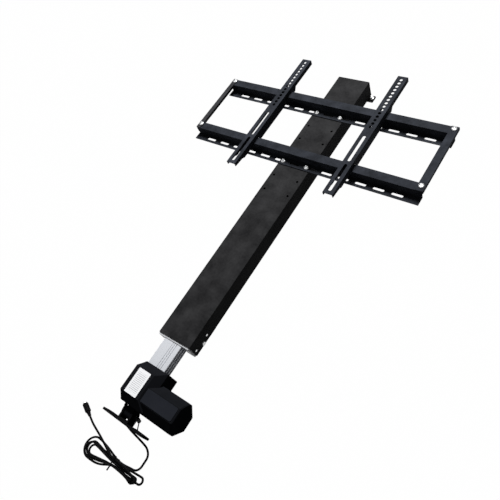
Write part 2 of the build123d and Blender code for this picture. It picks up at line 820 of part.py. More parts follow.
# Bolts at the four corners of the frame
for web, rail_name in zip(rail_webs, ("upper", "lower")):
    for side, side_name in side_names.items():
        corner_spot = (side * bar_bolt_place, web + bar_bolt_rise)
        with BuildPart() as bar_bolt:
            with BuildSketch(Plane.XY.offset(bar_top)):
                with Locations(corner_spot):
                    Circle(bar_bolt_head)
            extrude(amount=bar_bolt_height)
            chamfer(bar_bolt.edges().sort_by(Axis.Z)[-1], bar_bolt_height / 3)
            with BuildSketch(Plane.XY.offset(bar_top)):
                with Locations(corner_spot):
                    Circle(bar_bolt_stud)
            extrude(amount=-bar_sheet - rail_sheet - bar_bolt_tail)
        save(bar_bolt, f"bar_bolt_{rail_name}_{side_name}")

# Arms: channels with holes and slots in front, hooked over the upper rail
rest = flange_top + arm_rest_gap
flange_root = arm_front - arm_sheet
hook_line = rail_webs[0] + rail_flange + arm_hook_gap
tab_line = rail_webs[1] - arm_hook_gap
arm_tab_length = arm_tab_share * (tab_line - arm_low)
for side, side_name in side_names.items():
    middle = side * arm_place
    with BuildPart() as arm:
        with BuildSketch(Plane.XY.offset(arm_front)):
            with Locations((middle, (arm_low + arm_top) / 2)):
                Rectangle(arm_width, arm_length)
            for number in range(arm_hole_count):
                with Locations((middle, arm_top - arm_hole_first - number * arm_hole_pitch)):
                    Circle(arm_hole_radius, mode=Mode.SUBTRACT)
            for number in range(2):
                slot_low = arm_low + arm_slot_margin + number * arm_slot_pitch
                with Locations((middle, slot_low + arm_slot_length / 2)):
                    SlotOverall(arm_slot_length, arm_slot_width, rotation=90, mode=Mode.SUBTRACT)
        extrude(amount=-arm_sheet)
        for wall in (middle - arm_width / 2, middle + arm_width / 2 - arm_sheet):
            with BuildSketch(Plane.YZ.offset(wall)):
                with BuildLine():
                    Polyline(
                        (arm_top, flange_root),
                        (arm_top, rest),
                        (hook_line + arm_hook_length + arm_lead, rest),
                        (hook_line + arm_hook_length, rest - arm_hook_depth),
                        (hook_line - arm_hook_tip, rest - arm_hook_depth),
                        (hook_line - arm_hook_tip, flange_top - rail_sheet - arm_hook_gap),
                        (hook_line, flange_top - rail_sheet - arm_hook_gap),
                        (hook_line, rest),
                        (rail_webs[0] - arm_hook_gap, rest),
                        (rail_webs[0] - arm_lead, rest - arm_deep),
                        (rail_webs[1] + rail_flange + arm_lead, rest - arm_deep),
                        (rail_webs[1] + rail_flange + arm_hook_gap, rest),
                        (tab_line, rest),
                        (tab_line, rest - arm_tab_depth),
                        (tab_line - arm_tab_length, rest - arm_tab_depth),
                        (tab_line - arm_tab_length - arm_lead, rest),
                        (arm_low, rest + arm_tail_rise),
                        (arm_low, flange_root),
                        close=True,
                    )
                make_face()
            extrude(amount=arm_sheet)
        with BuildSketch(Plane.YZ.offset(middle)):
            with Locations((rail_webs[0] - arm_screw_place, rest - arm_screw_rise)):
                Circle(arm_screw_stud)
        extrude(amount=arm_width, mode=Mode.SUBTRACT)
    save(arm, f"bracket_arm_{side_name}")
    with BuildPart() as arm_screw:
        with BuildSketch(Plane.YZ.offset(middle + arm_width / 2)):
            with Locations((rail_webs[0] - arm_screw_place, rest - arm_screw_rise)):
                Circle(arm_screw_radius)
        extrude(amount=arm_screw_height)
        chamfer(arm_screw.edges().sort_by(Axis.X)[-1], arm_screw_height / 3)
        with BuildSketch(Plane.YZ.offset(middle + arm_width / 2)):
            with Locations((rail_webs[0] - arm_screw_place, rest - arm_screw_rise)):
                Circle(arm_screw_stud)
        extrude(amount=-2 * arm_sheet)
    save(arm_screw, f"arm_screw_{side_name}")


# Cord: a tube of straight runs joined by arcs, from the gland to the hank and on to the plug
corner_share = 0.45


def corner_radii(route):
    """At each corner, a share of the shorter run over the tangent of half the turn."""
    points = [Vector(*point) for point in route]
    radii = []
    for before, here, after in zip(points, points[1:], points[2:]):
        turn = (here - before).get_angle(after - here)
        shorter = min((here - before).length, (after - here).length)
        radii.append(corner_share * shorter / tan(radians(turn / 2)))
    return radii


def fullness(tube, length):
    """The tube's volume over its section times its length, which is 1 where nothing folds over."""
    return round(tube.volume / (pi * cord_radius**2 * length), 4)


def cord_tube(route):
    radii = corner_radii(route)
    print("radii", [round(radius, 1) for radius in radii])
    start = Vector(*route[0])
    with BuildPart() as tube:
        with BuildLine() as run:
            FilletPolyline(*route, radius=radii)
        with BuildSketch(Plane(start, z_dir=Vector(*route[1]) - start)):
            Circle(cord_radius)
        sweep()
    length = run.wires()[0].length
    print("tube length", round(length, 1), "fullness", fullness(tube.part, length))
    return tube


cord_lead = cord_tube(lead_route)
save(cord_lead, "cord_lead")
cord_tail = cord_tube(tail_route)
save(cord_tail, "cord_tail")


# Hank: a loop in each layer, drawn in at the waist and fanned out at its ends, wound as one tube
def hank_point(along, across, layer):
    return Vector(hank_middle[0] + along, hank_middle[1] + across, cord_level + layer * hank_rise)


def ease(start, end):
    """Two arcs that shift the cord sideways or upwards and leave it in its old direction."""
    direction = Vector(1 if end.X > start.X else -1, 0, 0)
    middle = (start + end) / 2
    first = TangentArc(start, middle, tangent=direction)
    return [first, TangentArc(middle, end, tangent=first % 1)]


def strand_end(loop, inner, side, heading, layer):
    """From the waist outwards: a bend's start, middle and end, and the loop that the run then meets."""
    reach, middle, radius = loop
    out = reach - hank_waist
    up = side * (middle - inner) - hank_flare
    slope = atan2(up, out) + asin((hank_flare + radius) / hypot(out, up))
    places = [
        (hank_waist + hank_flare * sin(turn), inner + side * hank_flare * (1 - cos(turn)))
        for turn in (0, slope / 2, slope)
    ]
    places.append((reach - radius * sin(slope), middle + side * radius * cos(slope)))
    return [hank_point(heading * along, across, layer) for along, across in places]


def outwards(points):
    return [ThreePointArc(*points[:3]), Line(points[2], points[3])]


def inwards(points):
    return [Line(points[3], points[2]), ThreePointArc(points[2], points[1], points[0])]


def through_waist(inner, low, high, heading):
    """One run of a loop through the waist, climbing there if it must."""
    steps = [(-hank_waist, low), (-hank_climb, low), (hank_climb, high), (hank_waist, high)]
    points = [hank_point(heading * along, inner, layer) for along, layer in steps]
    climb = ease(points[1], points[2]) if high != low else [Line(points[1], points[2])]
    return [Line(points[0], points[1])] + climb + [Line(points[2], points[3])]


def round_loop(loop, start, end, heading, layer):
    """Round one end of the hank, from one run to the other."""
    reach, middle, radius = loop
    return [ThreePointArc(start, hank_point(heading * (reach + radius), middle, layer), end)]


top_outer = hank_step
top_inner = 0
bottom = -hank_step
lead_start = hank_point(hank_lead, hank_lead_across, 0)
bend_start = lead_start + Vector(hank_bend, hank_bend, 0)
bend_middle = lead_start + Vector(hank_bend * sin(pi / 4), hank_bend * (1 - cos(pi / 4)), 0)
quiet = bend_start + Vector(0, 2 * cord_radius, 0)
join_point = hank_point(-hank_join, top_outer, 0)
last_layer = len(left_loops) - 1
exit_end = hank_point(-hank_exit, top_outer, last_layer) - Vector(2 * cord_radius, 0, 0)

with BuildPart() as cord_hank:
    with BuildLine() as hank_path:
        Line(quiet, bend_start)
        ThreePointArc(bend_start, bend_middle, lead_start)
        ease(lead_start, join_point)
        Line(join_point, hank_point(-hank_waist, top_outer, 0))
        outwards(strand_end(left_loops[0], top_outer, 1, -1, 0))
        for layer, (left, right) in enumerate(zip(left_loops, right_loops)):
            going, coming = (top_inner, top_outer) if layer % 2 else (top_outer, top_inner)
            left_upper = strand_end(left, going, 1, -1, layer)
            left_lower = strand_end(left, bottom, -1, -1, layer)
            right_lower = strand_end(right, bottom, -1, 1, layer)
            right_upper = strand_end(right, coming, 1, 1, layer)
            round_loop(left, left_upper[-1], left_lower[-1], -1, layer)
            inwards(left_lower)
            through_waist(bottom, layer, layer, 1)
            outwards(right_lower)
            round_loop(right, right_lower[-1], right_upper[-1], 1, layer)
            inwards(right_upper)
            if layer < last_layer:
                through_waist(coming, layer, layer + 1, -1)
                outwards(strand_end(left_loops[layer + 1], coming, 1, -1, layer + 1))
        Line(hank_point(hank_waist, top_outer, last_layer), exit_end)
    with BuildSketch(Plane(quiet, z_dir=(0, -1, 0))):
        Circle(cord_radius)
    sweep()
save(cord_hank, "cord_hank")


def least_gap(wire):
    """The least gap between stretches of the tube that are further apart along it than round it."""
    count = 900
    places = [wire.position_at(number / count) for number in range(count + 1)]
    stride = wire.length / count
    skip = int(6 * cord_radius / stride) + 1
    least = wire.length
    for number, place in enumerate(places):
        for other in places[number + skip:]:
            least = min(least, (place - other).length)
    return least - 2 * cord_radius


hank_wire = hank_path.wires()[0]
print("hank length", round(hank_wire.length, 1), "fullness", fullness(cord_hank.part, hank_wire.length))
print("hank's least gap to itself", round(least_gap(hank_wire), 2))

# Tie round the hank's waist, with its two short tails
tie_middle = Vector(hank_middle[0] + tie_place, hank_middle[1], 0)
tie_half = hank_step + cord_radius + tie_gap
tie_floor = cord_level - cord_radius - tie_gap
tie_roof = cord_level + last_layer * hank_rise + cord_radius + tie_gap
with BuildPart() as hank_tie:
    with BuildSketch(Plane.YZ.offset(tie_middle.X - tie_width / 2)):
        with Locations((tie_middle.Y, (tie_floor + tie_roof) / 2)):
            RectangleRounded(
                2 * (tie_half + tie_sheet), tie_roof - tie_floor + 2 * tie_sheet, 2 * tie_sheet
            )
            RectangleRounded(2 * tie_half, tie_roof - tie_floor, tie_sheet, mode=Mode.SUBTRACT)
        for side, tail in zip((-1, 1), tie_tails):
            with Locations((tie_middle.Y + side * (tie_half + tail / 2), tie_roof - 2 * tie_sheet)):
                Rectangle(tail, 2 * tie_sheet)
    extrude(amount=tie_width)
save(hank_tie, "hank_tie")

# Round plug with a sleeve, a grip and a metal end
plug_start = Vector(*tail_route[-1])
plug_way = (plug_start - Vector(*tail_route[-2])).normalized()
sleeve_end = plug_start + plug_way * plug_sleeve_length
grip_end = sleeve_end + plug_way * plug_length
with BuildPart() as plug_body:
    with BuildSketch(Plane(plug_start, z_dir=plug_way)):
        Circle((cord_radius + plug_sleeve_radius) / 2)
    with BuildSketch(Plane(sleeve_end, z_dir=plug_way)):
        Circle(plug_sleeve_radius + cord_radius / 2)
    loft()
    with BuildSketch(Plane(sleeve_end, z_dir=plug_way)):
        Circle(plug_radius)
    extrude(amount=plug_length)
    fillet(plug_body.edges().filter_by(GeomType.CIRCLE).sort_by(SortBy.RADIUS)[-2:], plug_radius / 6)
save(plug_body, "plug_body")

with BuildPart() as plug_tip:
    with BuildSketch(Plane(grip_end, z_dir=plug_way)):
        Circle(plug_tip_radius)
        Circle(plug_tip_radius - plug_tip_wall, mode=Mode.SUBTRACT)
        Circle(plug_core_radius)
    extrude(amount=plug_tip_length)
    with BuildSketch(Plane(grip_end, z_dir=plug_way)):
        Circle(plug_tip_radius)
    extrude(amount=plug_tip_wall)
save(plug_tip, "plug_tip")
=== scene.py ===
"""The looks of a motorised television lift that lies on its back.

A black powder-coated column slides on a bright aluminium profile. A moulded gearbox and
motor stand at the low end, with the supply cord, its hank and its plug beyond them.
Lengths are metres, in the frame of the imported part, unless a line says millimetres.
"""

from math import asin, atan2, cos, hypot, pi, radians, sin, tan

import bmesh
import bpy
from mathutils import Matrix, Vector


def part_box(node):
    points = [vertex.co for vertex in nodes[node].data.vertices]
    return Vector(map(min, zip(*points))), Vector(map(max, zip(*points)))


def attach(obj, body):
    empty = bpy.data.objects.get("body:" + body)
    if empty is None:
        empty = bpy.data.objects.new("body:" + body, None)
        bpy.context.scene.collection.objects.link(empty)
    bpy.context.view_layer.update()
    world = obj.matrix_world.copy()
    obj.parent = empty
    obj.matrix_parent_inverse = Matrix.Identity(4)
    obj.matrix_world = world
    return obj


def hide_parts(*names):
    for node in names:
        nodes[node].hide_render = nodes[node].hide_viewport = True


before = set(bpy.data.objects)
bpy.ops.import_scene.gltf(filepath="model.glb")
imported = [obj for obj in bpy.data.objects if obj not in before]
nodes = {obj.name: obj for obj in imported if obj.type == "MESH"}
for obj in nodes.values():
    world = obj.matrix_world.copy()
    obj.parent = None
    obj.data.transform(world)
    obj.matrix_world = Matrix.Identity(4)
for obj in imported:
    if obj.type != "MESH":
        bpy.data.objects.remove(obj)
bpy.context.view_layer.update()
mm = 0.001
sides = {"left": -1, "right": 1}


# Shader sums and nodes

class Wire:
    """A node's output that takes part in sums."""

    def __init__(self, finish, output):
        self.finish = finish
        self.output = output

    def maths(self, operation, *values):
        return self.finish.node("Math", {"operation": operation}, dict(enumerate(values)))

    def __add__(self, other):
        return self.maths("ADD", self, other)

    def __sub__(self, other):
        return self.maths("SUBTRACT", self, other)

    def __mul__(self, other):
        return self.maths("MULTIPLY", self, other)

    def __lt__(self, other):
        return self.maths("LESS_THAN", self, other)

    def __mod__(self, other):
        return self.maths("FLOORED_MODULO", self, other)

    def __abs__(self):
        return self.maths("ABSOLUTE", self)


class Finish:
    """A material, the nodes that make it, and the sockets of its surface."""

    def __init__(self, name, **surface):
        self.material = bpy.data.materials.new(name)
        self.material.use_nodes = True
        self.tree = self.material.node_tree
        self.surface = self.tree.nodes["Principled BSDF"]
        self.places = self.node("TexCoord", output="Object")
        self.set(**surface)

    def node(self, kind, settings=None, inputs=None, output=0):
        """Adds a node, and gives its output of that number or name."""
        made = self.tree.nodes.new("ShaderNode" + kind)
        for name, value in (settings or {}).items():
            setattr(made, name, value)
        self.plug(made, inputs or {})
        return Wire(self, made.outputs[output])

    def plug(self, made, inputs):
        """Links or sets the inputs of a node."""
        for name, value in inputs.items():
            if isinstance(value, Wire):
                self.tree.links.new(value.output, made.inputs[name])
            else:
                made.inputs[name].default_value = value

    def set(self, **surface):
        """Sets inputs of the surface, each by its own name in lower case."""
        self.plug(self.surface, {
            name.replace("_", " ").title().replace("Ior", "IOR"): value
            for name, value in surface.items()
        })

    def axis(self, name):
        """One of the object's coordinates."""
        return self.node("SeparateXYZ", None, {"Vector": self.places}, name)

    def stretched(self, scale, turn=(0, 0, 0)):
        """The object's coordinates, turned and scaled by axis."""
        return self.node("Mapping", None, {
            "Vector": self.places, "Scale": scale, "Rotation": turn,
        })

    def noise(self, scale, detail, places=None):
        return self.node("TexNoise", None, {
            "Vector": places or self.places, "Scale": scale, "Detail": detail,
        })

    def soft_edge(self, radius):
        """The surface's normal, rounded over its edges."""
        return self.node("Bevel", {"samples": 4}, {"Radius": radius})

    def mix(self, share, first, second):
        """From the first colour to the second, as share goes from 0 to 1."""
        return self.node("Mix", {"data_type": "RGBA"}, {
            0: share, 6: first, 7: second,
        }, output=2)

    def span(self, share, low, high):
        """From low to high, as share goes from 0 to 1."""
        return share * (high - low) + low

    def bump(self, height, distance, strength, normal=None):
        inputs = {"Height": height, "Distance": distance, "Strength": strength}
        if normal:
            inputs["Normal"] = normal
        return self.node("Bump", None, inputs)


def tone(red, green, blue):
    """A colour as a screen shows it, from 0 to 255, as linear light."""
    linear = []
    for value in (red, green, blue):
        share = value / 255
        linear.append(share / 12.92 if share <= 0.04045 else ((share + 0.055) / 1.055) ** 2.4)
    return (*linear, 1.0)


# Finishes

def powder_coat(name, dark, light, shine):
    """Baked powder on sheet steel: a faint mottle, fine orange peel and softened edges."""
    finish = Finish(name, specular_ior_level=shine)
    cloud = finish.noise(scale=24, detail=3)
    fleck = finish.noise(scale=160, detail=2)
    peel = finish.noise(scale=700, detail=2)
    mottle = cloud * 1.7 + fleck * 0.6 - 0.7
    finish.set(
        base_color=finish.mix(mottle, dark, light),
        roughness=finish.span(cloud, 0.44, 0.6),
        normal=finish.bump(peel, 0.05 * mm, 0.5, finish.soft_edge(0.6 * mm)),
    )
    return finish.material


def anodised_profile():
    """Extruded aluminium with a pale satin skin and drawing lines along its length."""
    finish = Finish("anodised_profile", metallic=0.12, specular_ior_level=0.3)
    lines = finish.noise(scale=1, detail=3, places=finish.stretched((900, 6, 900)))
    patches = finish.noise(scale=9, detail=2)
    share = lines * 0.3 + patches * 0.7
    finish.set(
        base_color=finish.mix(share, tone(186, 190, 198), tone(216, 218, 222)),
        roughness=finish.span(lines, 0.34, 0.46),
        normal=finish.bump(lines, 0.004 * mm, 0.3),
    )
    return finish.material


def moulded_housing(name, dark, light):
    """Black moulded plastic with a fine spark-eroded grain."""
    finish = Finish(name, specular_ior_level=0.0)
    cells = finish.node("TexVoronoi", None, {
        "Vector": finish.places, "Scale": 1400.0,
    }, output="Distance")
    cloud = finish.noise(scale=22, detail=3)
    finish.set(
        base_color=finish.mix(cloud, dark, light),
        roughness=finish.span(cloud, 0.42, 0.57),
        normal=finish.bump(cells, 0.06 * mm, 0.35, finish.soft_edge(1.0 * mm)),
    )
    return finish.material


def plain_plastic(name, dark, light, rough, shine):
    """Smooth plastic or rubber, and blackened steel, with a faint grain."""
    finish = Finish(name, specular_ior_level=shine)
    cloud = finish.noise(scale=60, detail=3)
    grain = finish.noise(scale=1500, detail=1)
    finish.set(
        base_color=finish.mix(cloud, dark, light),
        roughness=finish.span(cloud, rough, rough + 0.12),
        normal=finish.bump(grain, 0.03 * mm, 0.4),
    )
    return finish.material


def plated_steel(name, dark, light, rough):
    """Zinc or nickel plate, with a slight cloudiness and fine scratches."""
    finish = Finish(name, metallic=0.9)
    cloud = finish.noise(scale=180, detail=3)
    aslant = finish.stretched((2500, 300, 2500), (0.3, 0.5, 0.8))
    scratch = finish.noise(scale=1, detail=2, places=aslant)
    finish.set(
        base_color=finish.mix(cloud, dark, light),
        roughness=finish.span(cloud, rough, rough + 0.18),
        normal=finish.bump(scratch, 0.02 * mm, 0.3),
    )
    return finish.material


def rating_film():
    """White film, bare but for faint rules where a table would stand."""
    low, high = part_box("rating_label")
    middle = (low + high) / 2
    half = (high - low) / 2
    pitch, half_rule = 4.2 * mm, 0.55 * mm
    side_margin, end_margin = 5 * mm, 8 * mm
    finish = Finish("rating_film", specular_ior_level=0.4)
    across = abs(finish.axis("X") - middle.x)
    along = finish.axis("Y") - middle.y
    rule = abs(along % pitch - pitch / 2) < half_rule
    field = (across < half.x - side_margin) * (abs(along) < half.y - end_margin)
    worn = finish.noise(scale=90, detail=3)
    share = rule * field * finish.span(worn, 0.2, 1.0)
    finish.set(
        base_color=finish.mix(share, tone(246, 247, 249), tone(92, 94, 100)),
        roughness=finish.span(worn, 0.35, 0.45),
        normal=finish.bump(worn, 0.03 * mm, 0.3),
    )
    return finish.material


def greased_steel():
    """Bare steel under a film of grease."""
    finish = Finish("ground_tube", metallic=0.85)
    film = finish.noise(scale=120, detail=4)
    finish.set(
        base_color=finish.mix(film, tone(118, 116, 110), tone(176, 176, 176)),
        roughness=finish.span(film, 0.2, 0.45),
        normal=finish.bump(film, 0.04 * mm, 0.3),
    )
    return finish.material


def machined_bronze():
    """Bronze with the marks of its turning."""
    finish = Finish("machined_bronze", metallic=0.9)
    turns = finish.noise(scale=1, detail=2, places=finish.stretched((120, 1800, 120)))
    finish.set(
        base_color=finish.mix(turns, tone(150, 118, 66), tone(196, 160, 98)),
        roughness=finish.span(turns, 0.28, 0.48),
        normal=finish.bump(turns, 0.02 * mm, 0.4),
    )
    return finish.material


black_column = powder_coat("black_column", tone(30, 30, 31), tone(57, 57, 58), shine=0.006)
black_bracket = powder_coat("black_bracket", tone(33, 35, 39), tone(60, 63, 70), shine=0.006)
# A lighter, greyer copy of the bracket's coat for the left end bar alone: painted light where its
# upturned edge catches the lamp.
painted_lit_end_bar = powder_coat("painted_lit_end_bar", tone(44, 44, 46), tone(68, 68, 70), shine=0.006)
black_foot = powder_coat("black_foot", tone(12, 12, 13), tone(24, 24, 25), shine=0.0)
housing_finish = moulded_housing("moulded_housing", tone(16, 17, 19), tone(31, 32, 36))
# A lighter copy of the housing's plastic for the motor's front field: its lighter tone is painted
# sheen from the lamp above.
panel_sheen_finish = moulded_housing("moulded_panel_painted_sheen", tone(30, 32, 37), tone(42, 44, 50))
black_hardware = plain_plastic(
    "black_oxide", tone(12, 12, 13), tone(24, 24, 26), rough=0.35, shine=0.05)
slide_finish = plain_plastic(
    "black_slide", tone(16, 16, 17), tone(26, 26, 27), rough=0.4, shine=0.02)
bush_finish = plain_plastic(
    "grey_bush", tone(176, 178, 182), tone(204, 205, 208), rough=0.4, shine=0.3)
cord_finish = plain_plastic(
    "cord_jacket", tone(7, 7, 8), tone(14, 14, 15), rough=0.4, shine=0.015)
plug_finish = plain_plastic(
    "plug_moulding", tone(12, 12, 13), tone(22, 22, 23), rough=0.45, shine=0.02)
zinc_finish = plated_steel("zinc_plate", tone(168, 169, 169), tone(214, 215, 216), rough=0.24)
nickel_finish = plated_steel(
    "bright_nickel", tone(214, 214, 214), tone(244, 244, 244), rough=0.14)
profile_finish = anodised_profile()
label_finish = rating_film()
tube_finish = greased_steel()
bronze_finish = machined_bronze()


def paint(finish, *names):
    """Gives CAD nodes their finish."""
    for name in names:
        mesh = nodes[name].data
        mesh.materials.clear()
        mesh.materials.append(finish)


paint(black_column, "lift_column", "column_cap", "upper_wall_bracket", "lower_wall_bracket")
paint(black_foot, "foot_plate")
paint(black_bracket, "upper_rail", "lower_rail", "end_bar_right",
      "bracket_arm_left", "bracket_arm_right")
# Only the left end bar gets the lighter coat, a painted highlight; the right one keeps the
# bracket's coat.
paint(painted_lit_end_bar, "end_bar_left")
paint(profile_finish, "lift_profile")
paint(housing_finish, "gearbox_back_half", "gearbox_front_half", "motor_cover", "cord_gland")
paint(slide_finish, "slide_block", "tube_collar")
paint(bush_finish, "guide_bush")
paint(label_finish, "rating_label")
paint(tube_finish, "push_tube", "lead_screw")
paint(bronze_finish, "drive_nut")
paint(zinc_finish, "cap_bolt", "bush_screw_left_1", "bush_screw_left_2",
      "bush_screw_right_1", "bush_screw_right_2")
paint(black_hardware, "clevis_pin", "pin_clip", "arm_screw_left", "arm_screw_right")
paint(cord_finish, "hank_tie")


# New pieces

same_place = 0.001 * mm
sharp_from = radians(32)


def millimetres(pairs):
    return [(first * mm, second * mm) for first, second in pairs]


def middle_of(name):
    low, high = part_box(name)
    return (low + high) / 2


def add(name, data):
    """An object in the scene, with its origin at zero."""
    made = bpy.data.objects.new(name, data)
    bpy.context.scene.collection.objects.link(made)
    return made


def piece(name, shape, body, finish, slot, *replaced):
    """Makes a bmesh a named piece that rides on a body and may stand for CAD nodes."""
    bmesh.ops.recalc_face_normals(shape, faces=shape.faces)
    mesh = bpy.data.meshes.new(name)
    shape.to_mesh(mesh)
    shape.free()
    mesh.shade_smooth()
    mesh.set_sharp_from_angle(angle=sharp_from)
    mesh.materials.append(finish)
    made = add(name, mesh)
    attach(made, body)
    if replaced:
        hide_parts(*replaced)
    return made


def turned(outline, steps, shape=None):
    """A lathe shape about +Z, from pairs of radius and height, alone or added to another."""
    shape = shape or bmesh.new()
    corners = [shape.verts.new((radius, 0, height)) for radius, height in outline]
    edges = [shape.edges.new(pair) for pair in zip(corners, corners[1:])]
    bmesh.ops.spin(shape, geom=corners + edges, cent=(0, 0, 0), axis=(0, 0, 1),
                   angle=2 * pi, steps=steps, use_merge=True)
    bmesh.ops.remove_doubles(shape, verts=shape.verts, dist=same_place)
    return shape


def stand(shape, place, direction):
    """Turns a shape's +Z to a direction and moves its origin to a place."""
    turn = Vector((0, 0, 1)).rotation_difference(Vector(direction)).to_matrix().to_4x4()
    bmesh.ops.transform(shape, matrix=Matrix.Translation(place) @ turn, verts=shape.verts)
    return shape


def level_edges(shape, height):
    """The edges that lie at one height."""
    return [edge for edge in shape.edges
            if all(abs(end.co.z - height) < same_place for end in edge.verts)]


def pan_bolt(radius, height, stud_radius, stud_length):
    """A pan-head bolt, open on top, its head's seat at the origin and its stud below."""
    return turned([
        (0, -stud_length), (0.8 * stud_radius, -stud_length),
        (stud_radius, 0.2 * stud_radius - stud_length), (stud_radius, 0), (radius, 0),
        (radius, 0.3 * height), (0.95 * radius, 0.62 * height), (0.82 * radius, 0.88 * height),
        (0.62 * radius, height),
    ], 24)


def sink_top(shape, height, depth):
    """Closes a head's open top with a round recess that narrows downwards."""
    floor = bmesh.ops.contextual_create(shape, geom=level_edges(shape, height))["faces"]
    sunk = bmesh.ops.extrude_face_region(shape, geom=floor)
    corners = [item for item in sunk["geom"] if isinstance(item, bmesh.types.BMVert)]
    bmesh.ops.delete(shape, geom=floor, context="FACES_ONLY")
    bmesh.ops.translate(shape, verts=corners, vec=(0, 0, -depth))
    narrowing = (0.7, 0.7, 1)
    centre = sum((corner.co for corner in corners), Vector()) / len(corners)
    bmesh.ops.scale(shape, verts=corners, vec=narrowing, space=Matrix.Translation(-centre))


def bolts():
    """The silver bolts of the bracket, each in the place of the CAD bolt that it stands for."""
    radius, stud_radius = 7 * mm, 2.9 * mm
    for kind, height in (("rail", 3.6 * mm), ("bar", 3.4 * mm)):
        for row in ("upper", "lower"):
            for side_name in sides:
                name = f"{kind}_bolt_{row}_{side_name}"
                low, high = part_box(name)
                middle = middle_of(name)
                shape = pan_bolt(radius, height, stud_radius, high.z - low.z - height)
                sink_top(shape, height, 0.8 * height)
                stand(shape, (middle.x, middle.y, high.z - height), (0, 0, 1))
                piece(f"{kind}_pan_bolt_{row}_{side_name}", shape, "carriage", zinc_finish,
                      "zinc_steel", name)


def hexagon(across, low, high, chamfer):
    """A six-sided head or nut about +Z, its top corners taken off."""
    shape = bmesh.new()
    bmesh.ops.create_circle(shape, cap_ends=True, segments=6, radius=across / 2 / cos(pi / 6))
    bmesh.ops.translate(shape, verts=shape.verts, vec=(0, 0, low))
    top = bmesh.ops.extrude_face_region(shape, geom=shape.faces[:])["geom"]
    corners = [item for item in top if isinstance(item, bmesh.types.BMVert)]
    bmesh.ops.translate(shape, verts=corners, vec=(0, 0, high - low))
    bmesh.ops.bevel(shape, geom=level_edges(shape, high), offset=chamfer, segments=2,
                    profile=0.5, affect="EDGES", material=-1)
    return shape


def threads(radius, low, high, pitch):
    """The outline of a stud's ridges, from its low end to its high one."""
    outline = [(0, low), (radius - 0.3 * mm, low)]
    for number in range(int((high - low) / pitch)):
        base = low + number * pitch
        outline += [(radius, base + 0.3 * pitch), (radius, base + 0.6 * pitch),
                    (0.88 * radius, base + pitch)]
    return outline + [(0.8 * radius, high), (0, high)]


def six_sided():
    """The hexagon bolts in the column's sides, and the nuts on the wall bracket's bolts."""
    across, chamfer, stud_radius, pitch = 10 * mm, 0.7 * mm, 3 * mm, 1 * mm
    head, stud = 4 * mm, 10 * mm
    nut_low, nut_high, bolt_top = 3 * mm, 8 * mm, 12 * mm
    for side_name, side in sides.items():
        name = f"bush_bolt_{side_name}"
        low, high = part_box(name)
        middle = middle_of(name)
        shape = hexagon(across, 0, head, chamfer)
        turned(threads(stud_radius, -stud, 0, pitch), 20, shape)
        seat = high.x - head if side > 0 else low.x + head
        stand(shape, (seat, middle.y, middle.z), (side, 0, 0))
        piece(f"side_bolt_{side_name}", shape, "carriage", zinc_finish, "zinc_steel", name)
        name = f"wall_bolt_{side_name}"
        middle = middle_of(name)
        shape = hexagon(across, nut_low, nut_high, chamfer)
        turned(threads(stud_radius, 0, bolt_top, pitch), 20, shape)
        stand(shape, (middle.x, middle.y, 0), (0, 0, 1))
        piece(f"wall_nut_{side_name}", shape, "base", zinc_finish, "zinc_steel", name)


def sheet(shape, rings, place, thickness):
    """A flat sheet from closed rings of points, the first its outline and the rest its holes."""
    edges = []
    for ring in rings:
        corners = [shape.verts.new(place(*point)) for point in ring]
        edges += [shape.edges.new((corners[n - 1], corners[n])) for n in range(len(corners))]
    filled = bmesh.ops.triangle_fill(
        shape, use_beauty=True, use_dissolve=False, edges=edges)["geom"]
    faces = [item for item in filled if isinstance(item, bmesh.types.BMFace)]
    raised = bmesh.ops.extrude_face_region(shape, geom=faces)["geom"]
    corners = [item for item in raised if isinstance(item, bmesh.types.BMVert)]
    bmesh.ops.translate(shape, verts=corners, vec=thickness)


def slot_ring(middle, radius, straight):
    """The ring of a hole, or of a slot with a straight part, as pairs of across and down."""
    ring = []
    steps = 16
    for number in range(steps):
        angle = 2 * pi * (number + 0.5) / steps
        end = straight / 2 if sin(angle) > 0 else -straight / 2
        ring.append((radius * cos(angle), middle + end + radius * sin(angle)))
    return ring


def arms():
    """The hooked arms: a front with its holes and slots, and two walls cut to pass the rails.

    A wall's outline is in pairs, in millimetres: down from the arm's top end, and how deep
    behind its front. The left and right walls differ only between the rails.
    """
    wide, long, thick = 29 * mm, 423.5 * mm, 2 * mm
    skin, rest, hook, lip, tab = 2, 13.7, 24.7, 17, 18.7
    above = [
        (0, skin), (0, rest), (97, rest), (105, hook), (126, hook), (126, lip), (119, lip),
        (119, rest), (144.8, rest), (151.8, 25),
    ]
    between = {
        -1: [(188, 25), (202, 15), (300.4, 15)],
        1: [(176, 27.7), (300.4, 27.7)],
    }
    below = [
        (307.4, rest), (333.2, rest), (333.2, tab), (382.9, tab), (390.9, rest),
        (423.5, 10.2), (423.5, skin),
    ]
    half_hole, first_hole, pitch, holes = 4.5 * mm, 12.7, 12.84, 15
    slot_middles, slot_straight = (268.8, 368.8), 81 * mm
    rings = [[(-wide / 2, 0), (wide / 2, 0), (wide / 2, long), (-wide / 2, long)]]
    rings += [slot_ring((first_hole + pitch * number) * mm, half_hole, 0)
              for number in range(holes)]
    rings += [slot_ring(middle * mm, half_hole, slot_straight) for middle in slot_middles]
    for side_name in sides:
        name = f"bracket_arm_{side_name}"
        low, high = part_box(name)
        middle = (low.x + high.x) / 2
        shape = bmesh.new()
        sheet(shape, rings, lambda across, down: (middle + across, high.y - down, high.z),
              (0, 0, -thick))
        for wall, outline in between.items():
            face = middle + wall * wide / 2
            sheet(shape, [millimetres(above + outline + below)],
                  lambda down, depth: (face, high.y - down, high.z - depth),
                  (-wall * thick, 0, 0))
        piece(f"hooked_arm_{side_name}", shape, f"{side_name}_arm", black_bracket,
              "black_steel", name)


